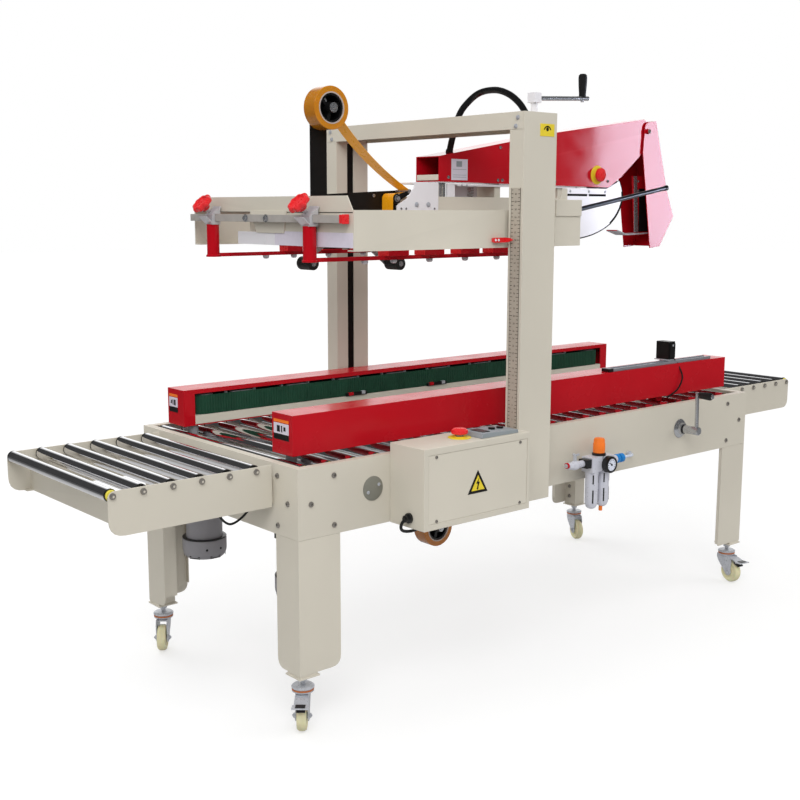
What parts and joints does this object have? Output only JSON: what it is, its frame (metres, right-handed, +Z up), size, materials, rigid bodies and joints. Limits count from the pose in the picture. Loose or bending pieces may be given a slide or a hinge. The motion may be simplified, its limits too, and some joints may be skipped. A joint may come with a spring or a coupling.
{
  "type": "carton sealer machine",
  "caption": "Flap-folding carton sealer: roller bed with side drive belts, crank-adjusted tape head on a gantry, kick leg, roller tables at both ends, on casters.",
  "frame": {"origin": "on the floor, under the centre of the whole machine's overall box", "axes": "+Z up; +X along the bed towards the infeed table, so cartons travel towards -X; the operator's side with both cranks and the electric box is -Y"},
  "size_m": [2.7034, 0.927, 1.622],
  "materials": {
    "beige_paint": "textured warm beige powder coat on folded sheet",
    "red_paint": "glossy signal red enamel",
    "white_paint": "satin white enamel",
    "black_paint": "satin black enamel",
    "motor_grey": "satin grey casting paint",
    "roller_chrome": "bright plated tube",
    "crank_chrome": "bright plated bar with black grips",
    "zinc_steel": "zinc plated, slightly grey",
    "air_alloy": "cast alloy with plastic bowls",
    "caster_nylon": "cream nylon",
    "belt_rubber": "dark green ribbed belt",
    "applicator_rubber": "black rubber roller on a black arm",
    "knob_red": "bright red moulding",
    "orange_plastic": "orange moulding",
    "amber_tape": "amber packing tape, glossy side face"
  },
  "bodies": {
    "frame": {"bed_frame": "beige_paint", "bed_rollers": "roller_chrome", "leg_outfeed_near": "beige_paint", "leg_outfeed_far": "beige_paint", "leg_infeed_near": "beige_paint", "leg_infeed_far": "beige_paint", "outfeed_table": "beige_paint", "infeed_table": "beige_paint", "column_near": "beige_paint", "column_far": "beige_paint", "top_beam": "beige_paint", "electric_box": "beige_paint", "box_cover": "beige_paint", "air_unit": "air_alloy", "lower_tape_head": "black_paint"},
    "caster_fork_outfeed_near": {"caster_fork_outfeed_near": "zinc_steel"},
    "caster_wheel_outfeed_near": {"caster_wheel_outfeed_near": "caster_nylon"},
    "caster_fork_outfeed_far": {"caster_fork_outfeed_far": "zinc_steel"},
    "caster_wheel_outfeed_far": {"caster_wheel_outfeed_far": "caster_nylon"},
    "caster_fork_infeed_near": {"caster_fork_infeed_near": "zinc_steel"},
    "caster_wheel_infeed_near": {"caster_wheel_infeed_near": "caster_nylon"},
    "caster_fork_infeed_far": {"caster_fork_infeed_far": "zinc_steel"},
    "caster_wheel_infeed_far": {"caster_wheel_infeed_far": "caster_nylon"},
    "outfeed_roller_1": {"outfeed_roller_1": "roller_chrome"},
    "outfeed_roller_2": {"outfeed_roller_2": "roller_chrome"},
    "outfeed_roller_3": {"outfeed_roller_3": "roller_chrome"},
    "outfeed_roller_4": {"outfeed_roller_4": "roller_chrome"},
    "outfeed_roller_5": {"outfeed_roller_5": "roller_chrome"},
    "outfeed_roller_6": {"outfeed_roller_6": "roller_chrome"},
    "infeed_roller_1": {"infeed_roller_1": "roller_chrome"},
    "infeed_roller_2": {"infeed_roller_2": "roller_chrome"},
    "infeed_roller_3": {"infeed_roller_3": "roller_chrome"},
    "infeed_roller_4": {"infeed_roller_4": "roller_chrome"},
    "infeed_roller_5": {"infeed_roller_5": "roller_chrome"},
    "belt_unit_near": {"belt_housing_near": "red_paint", "drive_belt_near": "belt_rubber", "belt_motor_near": "motor_grey"},
    "belt_unit_far": {"belt_housing_far": "red_paint", "drive_belt_far": "belt_rubber", "belt_motor_far": "motor_grey"},
    "width_crank": {"width_crank": "crank_chrome"},
    "head": {"head_frame": "beige_paint", "cross_bar": "zinc_steel", "tape_head": "black_paint", "kicker_arm": "red_paint", "flap_plow": "white_paint"},
    "lift_crank": {"lift_crank": "crank_chrome"},
    "side_guide_near": {"side_guide_near": "red_paint"},
    "side_guide_far": {"side_guide_far": "red_paint"},
    "clamp_knob_near": {"clamp_knob_near": "knob_red"},
    "clamp_knob_far": {"clamp_knob_far": "knob_red"},
    "tape_roll": {"tape_roll": "amber_tape"},
    "tape_guide_roller": {"tape_guide_roller": "zinc_steel"},
    "front_applicator": {"front_applicator": "applicator_rubber"},
    "rear_applicator": {"rear_applicator": "applicator_rubber"},
    "kick_leg": {"kick_leg": "red_paint"},
    "stop_button_arm": {"stop_button_arm": "knob_red"},
    "stop_button_box": {"stop_button_box": "knob_red"},
    "pressure_knob": {"pressure_knob": "orange_plastic"},
    "lower_tape_roll": {"lower_tape_roll": "amber_tape"}
  },
  "joints": [
    {"name": "caster_swivel_outfeed_near", "type": "hinge", "parent": "frame", "child": "caster_fork_outfeed_near", "pos_m": [-0.8848, -0.3061, 0.1], "axis": [0, 0, 1], "continuous": true},
    {"name": "caster_roll_outfeed_near", "type": "hinge", "parent": "caster_fork_outfeed_near", "child": "caster_wheel_outfeed_near", "pos_m": [-0.90055, -0.32421, 0.0375], "axis": [0.7547, -0.6561, 0], "continuous": true},
    {"name": "caster_swivel_outfeed_far", "type": "hinge", "parent": "frame", "child": "caster_fork_outfeed_far", "pos_m": [-0.8848, 0.3831, 0.1], "axis": [0, 0, 1], "continuous": true},
    {"name": "caster_roll_outfeed_far", "type": "hinge", "parent": "caster_fork_outfeed_far", "child": "caster_wheel_outfeed_far", "pos_m": [-0.8999, 0.36445, 0.0375], "axis": [0.7771, -0.6293, 0], "continuous": true},
    {"name": "caster_swivel_infeed_near", "type": "hinge", "parent": "frame", "child": "caster_fork_infeed_near", "pos_m": [0.9044, -0.3061, 0.1], "axis": [0, 0, 1], "continuous": true},
    {"name": "caster_roll_infeed_near", "type": "hinge", "parent": "caster_fork_infeed_near", "child": "caster_wheel_infeed_near", "pos_m": [0.90023, -0.32974, 0.0375], "axis": [0.9848, -0.1736, 0], "continuous": true},
    {"name": "caster_swivel_infeed_far", "type": "hinge", "parent": "frame", "child": "caster_fork_infeed_far", "pos_m": [0.9044, 0.3831, 0.1], "axis": [0, 0, 1], "continuous": true},
    {"name": "caster_roll_infeed_far", "type": "hinge", "parent": "caster_fork_infeed_far", "child": "caster_wheel_infeed_far", "pos_m": [0.89541, 0.36085, 0.0375], "axis": [0.9272, -0.3746, 0], "continuous": true},
    {"name": "outfeed_roller_1_spin", "type": "hinge", "parent": "frame", "child": "outfeed_roller_1", "pos_m": [-0.9642, 0.0385, 0.64], "axis": [0, 1, 0], "continuous": true},
    {"name": "outfeed_roller_2_spin", "type": "hinge", "parent": "frame", "child": "outfeed_roller_2", "pos_m": [-1.0387, 0.0385, 0.64], "axis": [0, 1, 0], "continuous": true},
    {"name": "outfeed_roller_3_spin", "type": "hinge", "parent": "frame", "child": "outfeed_roller_3", "pos_m": [-1.1132, 0.0385, 0.64], "axis": [0, 1, 0], "continuous": true},
    {"name": "outfeed_roller_4_spin", "type": "hinge", "parent": "frame", "child": "outfeed_roller_4", "pos_m": [-1.1877, 0.0385, 0.64], "axis": [0, 1, 0], "continuous": true},
    {"name": "outfeed_roller_5_spin", "type": "hinge", "parent": "frame", "child": "outfeed_roller_5", "pos_m": [-1.2622, 0.0385, 0.64], "axis": [0, 1, 0], "continuous": true},
    {"name": "outfeed_roller_6_spin", "type": "hinge", "parent": "frame", "child": "outfeed_roller_6", "pos_m": [-1.3367, 0.0385, 0.64], "axis": [0, 1, 0], "continuous": true},
    {"name": "infeed_roller_1_spin", "type": "hinge", "parent": "frame", "child": "infeed_roller_1", "pos_m": [1.0543, 0.0385, 0.64], "axis": [0, 1, 0], "continuous": true},
    {"name": "infeed_roller_2_spin", "type": "hinge", "parent": "frame", "child": "infeed_roller_2", "pos_m": [1.1249, 0.0385, 0.64], "axis": [0, 1, 0], "continuous": true},
    {"name": "infeed_roller_3_spin", "type": "hinge", "parent": "frame", "child": "infeed_roller_3", "pos_m": [1.1955, 0.0385, 0.64], "axis": [0, 1, 0], "continuous": true},
    {"name": "infeed_roller_4_spin", "type": "hinge", "parent": "frame", "child": "infeed_roller_4", "pos_m": [1.2661, 0.0385, 0.64], "axis": [0, 1, 0], "continuous": true},
    {"name": "infeed_roller_5_spin", "type": "hinge", "parent": "frame", "child": "infeed_roller_5", "pos_m": [1.3367, 0.0385, 0.64], "axis": [0, 1, 0], "continuous": true},
    {"name": "belt_unit_near_slide", "type": "slide", "parent": "frame", "child": "belt_unit_near", "axis": [0, 1, 0], "range_m": [-0.027, 0.13]},
    {"name": "belt_unit_far_slide", "type": "slide", "parent": "frame", "child": "belt_unit_far", "axis": [0, 1, 0], "range_m": [-0.13, 0.027]},
    {"name": "width_crank_turn", "type": "hinge", "parent": "frame", "child": "width_crank", "pos_m": [0.5678, -0.3985, 0.575], "axis": [0, 1, 0], "continuous": true},
    {"name": "head_lift", "type": "slide", "parent": "frame", "child": "head", "axis": [0, 0, 1], "range_m": [-0.28, 0.03]},
    {"name": "lift_crank_turn", "type": "hinge", "parent": "frame", "child": "lift_crank", "pos_m": [-0.1582, -0.3595, 1.553], "axis": [0, 0, 1], "continuous": true},
    {"name": "side_guide_near_slide", "type": "slide", "parent": "head", "child": "side_guide_near", "axis": [0, 1, 0], "range_m": [-0.1, 0.11]},
    {"name": "side_guide_far_slide", "type": "slide", "parent": "head", "child": "side_guide_far", "axis": [0, 1, 0], "range_m": [-0.13, 0.085]},
    {"name": "clamp_knob_near_turn", "type": "hinge", "parent": "side_guide_near", "child": "clamp_knob_near", "pos_m": [-0.7577, -0.1735, 1.244], "axis": [-0.7071, 0, 0.7071], "continuous": true},
    {"name": "clamp_knob_far_turn", "type": "hinge", "parent": "side_guide_far", "child": "clamp_knob_far", "pos_m": [-0.7577, 0.2765, 1.244], "axis": [-0.7071, 0, 0.7071], "continuous": true},
    {"name": "tape_roll_spin", "type": "hinge", "parent": "head", "child": "tape_roll", "pos_m": [-0.5402, 0.0385, 1.524], "axis": [0, 1, 0], "continuous": true},
    {"name": "tape_guide_roller_spin", "type": "hinge", "parent": "head", "child": "tape_guide_roller", "pos_m": [-0.3122, 0.0385, 1.288], "axis": [0, 1, 0], "continuous": true},
    {"name": "front_applicator_swing", "type": "hinge", "parent": "head", "child": "front_applicator", "pos_m": [-0.5102, 0.0385, 1.186], "axis": [0, 1, 0], "range_deg": [0, 30]},
    {"name": "rear_applicator_swing", "type": "hinge", "parent": "head", "child": "rear_applicator", "pos_m": [-0.4102, 0.0385, 1.186], "axis": [0, 1, 0], "range_deg": [-30, 0]},
    {"name": "kick_leg_swing", "type": "hinge", "parent": "head", "child": "kick_leg", "pos_m": [0.7608, 0.0385, 1.517], "axis": [0, 1, 0], "range_deg": [-70, 5]},
    {"name": "stop_button_arm_press", "type": "slide", "parent": "head", "child": "stop_button_arm", "axis": [0, 1, 0], "range_m": [0, 0.005]},
    {"name": "stop_button_box_press", "type": "slide", "parent": "frame", "child": "stop_button_box", "axis": [0, 0, -1], "range_m": [0, 0.005]},
    {"name": "pressure_knob_turn", "type": "hinge", "parent": "frame", "child": "pressure_knob", "pos_m": [0.1248, -0.3775, 0.58], "axis": [0, 0, 1], "continuous": true},
    {"name": "lower_tape_roll_spin", "type": "hinge", "parent": "frame", "child": "lower_tape_roll", "pos_m": [-0.1452, 0.0385, 0.303], "axis": [0, 1, 0], "continuous": true}
  ],
  "couplings": [
    {"joint": "belt_unit_far_slide", "follows": "belt_unit_near_slide", "ratio": -1},
    {"joint": "width_crank_turn", "follows": "belt_unit_near_slide", "rad_per_m": 628.32},
    {"joint": "lift_crank_turn", "follows": "head_lift", "rad_per_m": 628.32},
    {"joint": "rear_applicator_swing", "follows": "front_applicator_swing", "ratio": -1}
  ]
}
